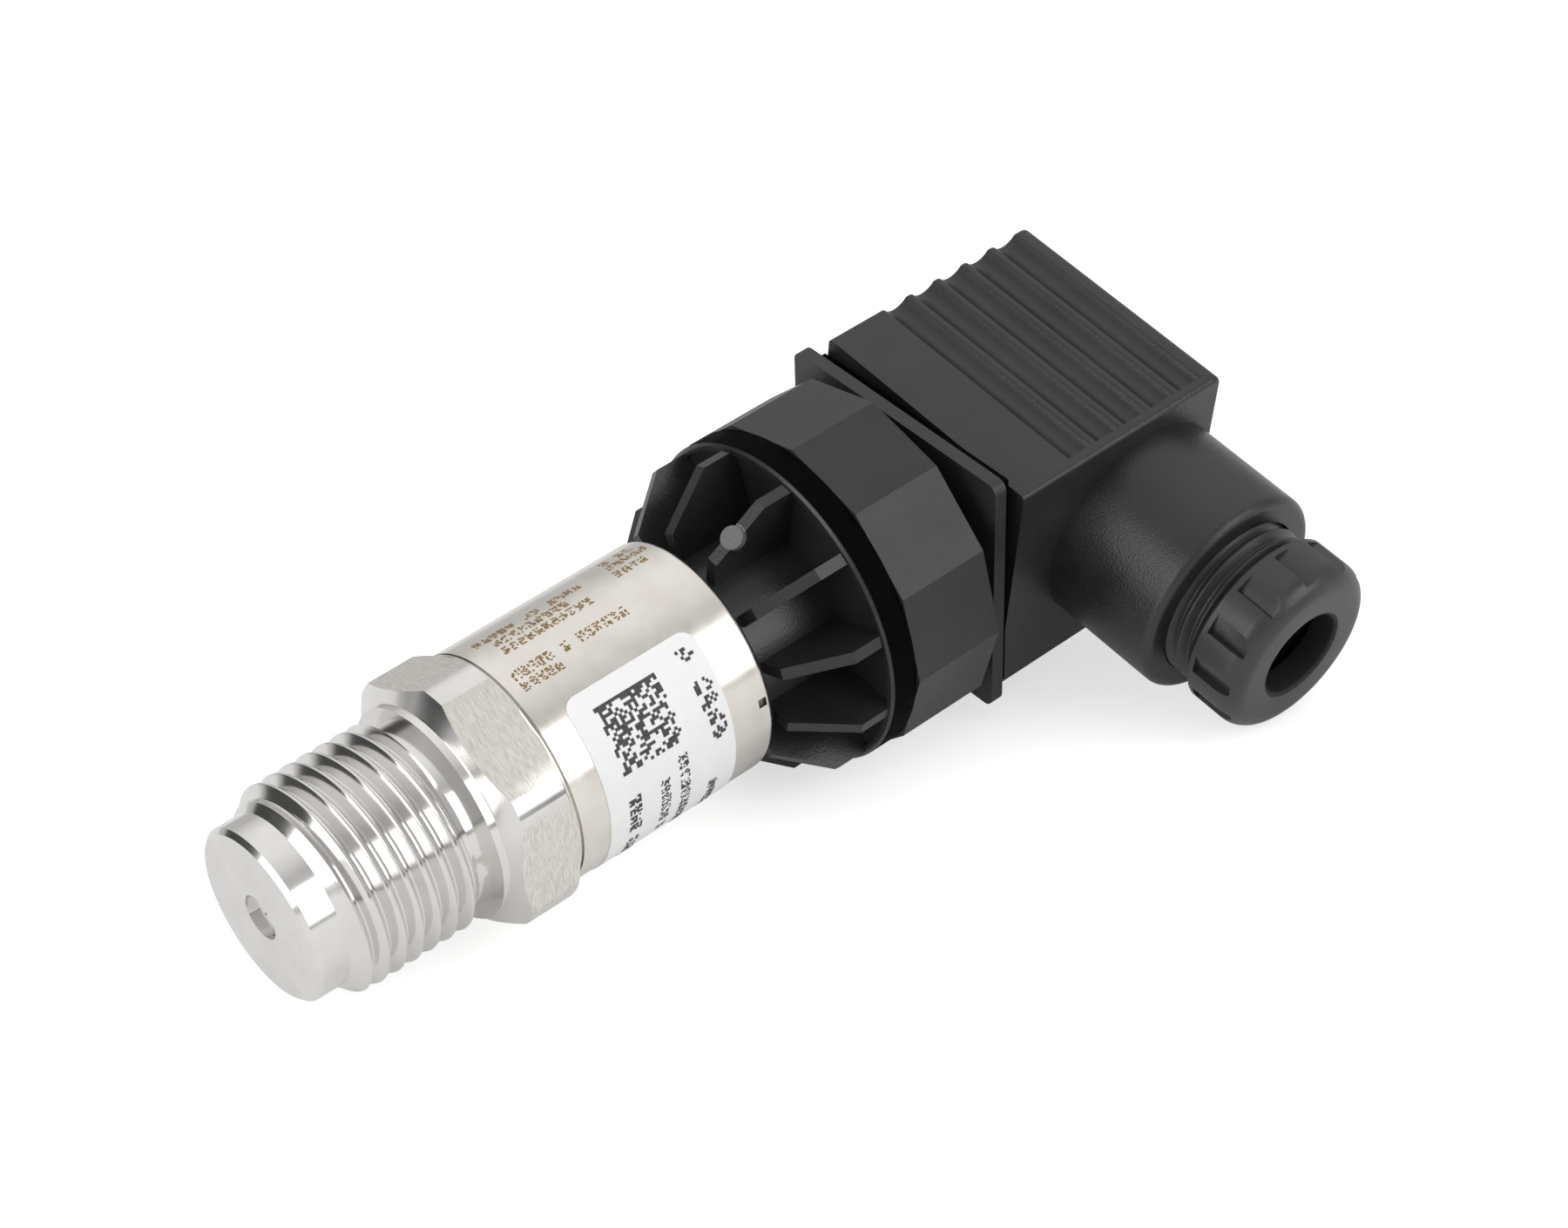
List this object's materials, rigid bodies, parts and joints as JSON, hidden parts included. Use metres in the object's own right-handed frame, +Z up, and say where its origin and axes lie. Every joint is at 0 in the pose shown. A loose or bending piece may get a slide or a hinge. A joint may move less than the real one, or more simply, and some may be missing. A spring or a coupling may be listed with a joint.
{
  "type": "pressure transmitter",
  "caption": "Pressure transmitter with a threaded steel process connection, a labelled steel case, a ribbed plastic adapter and an angled plug with a cable gland.",
  "frame": {"origin": "on the surface that the object lies on, below the middle of its bounding box", "axes": "+X from the threaded nose to the plug, +Y away from the cable gland, +Z up; the main axis lies in the XZ plane and falls towards the nose by 5.4 degrees, and the cable gland points down by 19.1 degrees, so the object rests on its hexagon, the adapter's rim and the gland's head"},
  "size_m": [0.1076, 0.0545, 0.0383],
  "materials": {
    "stainless_steel": "bright turned stainless steel",
    "label_paper": "white printed film label",
    "glass_filled_plastic": "dark grey moulded plastic with a fine grain",
    "black_rubber": "matt black seal rubber",
    "board_laminate": "green circuit laminate",
    "chip_plastic": "black chip bodies",
    "lead_wire": "insulated lead wire",
    "brass": "turned brass",
    "plated_contacts": "tin plated contacts",
    "zinc_plated_steel": "zinc plated screw steel",
    "insert_plastic": "grey moulded insert",
    "slip_plastic": "smooth plastic slip washer"
  },
  "bodies": {
    "transmitter": {"process_connection": "stainless_steel", "case_tube": "stainless_steel", "case_label": "label_paper", "pressure_cell": "stainless_steel", "cell_seal": "black_rubber", "cell_retainer": "stainless_steel", "circuit_board": "board_laminate", "board_components": "chip_plastic", "sensor_leads": "lead_wire", "plug_leads": "lead_wire", "adapter": "glass_filled_plastic", "adapter_seal": "black_rubber", "collar_seal": "black_rubber", "connector_base": "glass_filled_plastic", "thread_insert": "brass", "contact_blades": "plated_contacts", "earth_blade": "plated_contacts", "flat_gasket": "black_rubber"},
    "connector": {"connector_housing": "glass_filled_plastic", "terminal_block": "insert_plastic", "terminal_sockets": "plated_contacts", "terminal_screws": "zinc_plated_steel", "screw_seal": "black_rubber", "gland_grommet": "black_rubber"},
    "fixing_screw": {"fixing_screw": "zinc_plated_steel"},
    "gland_washer": {"gland_washer": "slip_plastic"},
    "gland_screw": {"gland_screw": "glass_filled_plastic"}
  },
  "joints": [
    {"name": "connector_pull", "type": "slide", "parent": "transmitter", "child": "connector", "axis": [0.9955, 0, 0.0947], "range_m": [0, 0.016]},
    {"name": "fixing_screw_turn", "type": "hinge", "parent": "connector", "child": "fixing_screw", "pos_m": [0.03659, 0.00972, 0.01979], "axis": [0.9955, 0, 0.0947], "continuous": true},
    {"name": "gland_travel", "type": "slide", "parent": "connector", "child": "gland_washer", "axis": [0.0312, -0.9441, -0.3282], "range_m": [-0.0036, 0.0031]},
    {"name": "gland_screw_turn", "type": "hinge", "parent": "gland_washer", "child": "gland_screw", "pos_m": [0.04276, -0.0186, 0.01044], "axis": [0.0312, -0.9441, -0.3282], "range_deg": [-840, 720]}
  ],
  "couplings": [
    {"joint": "gland_travel", "follows": "gland_screw_turn", "m_per_rad": 0.00023873}
  ]
}
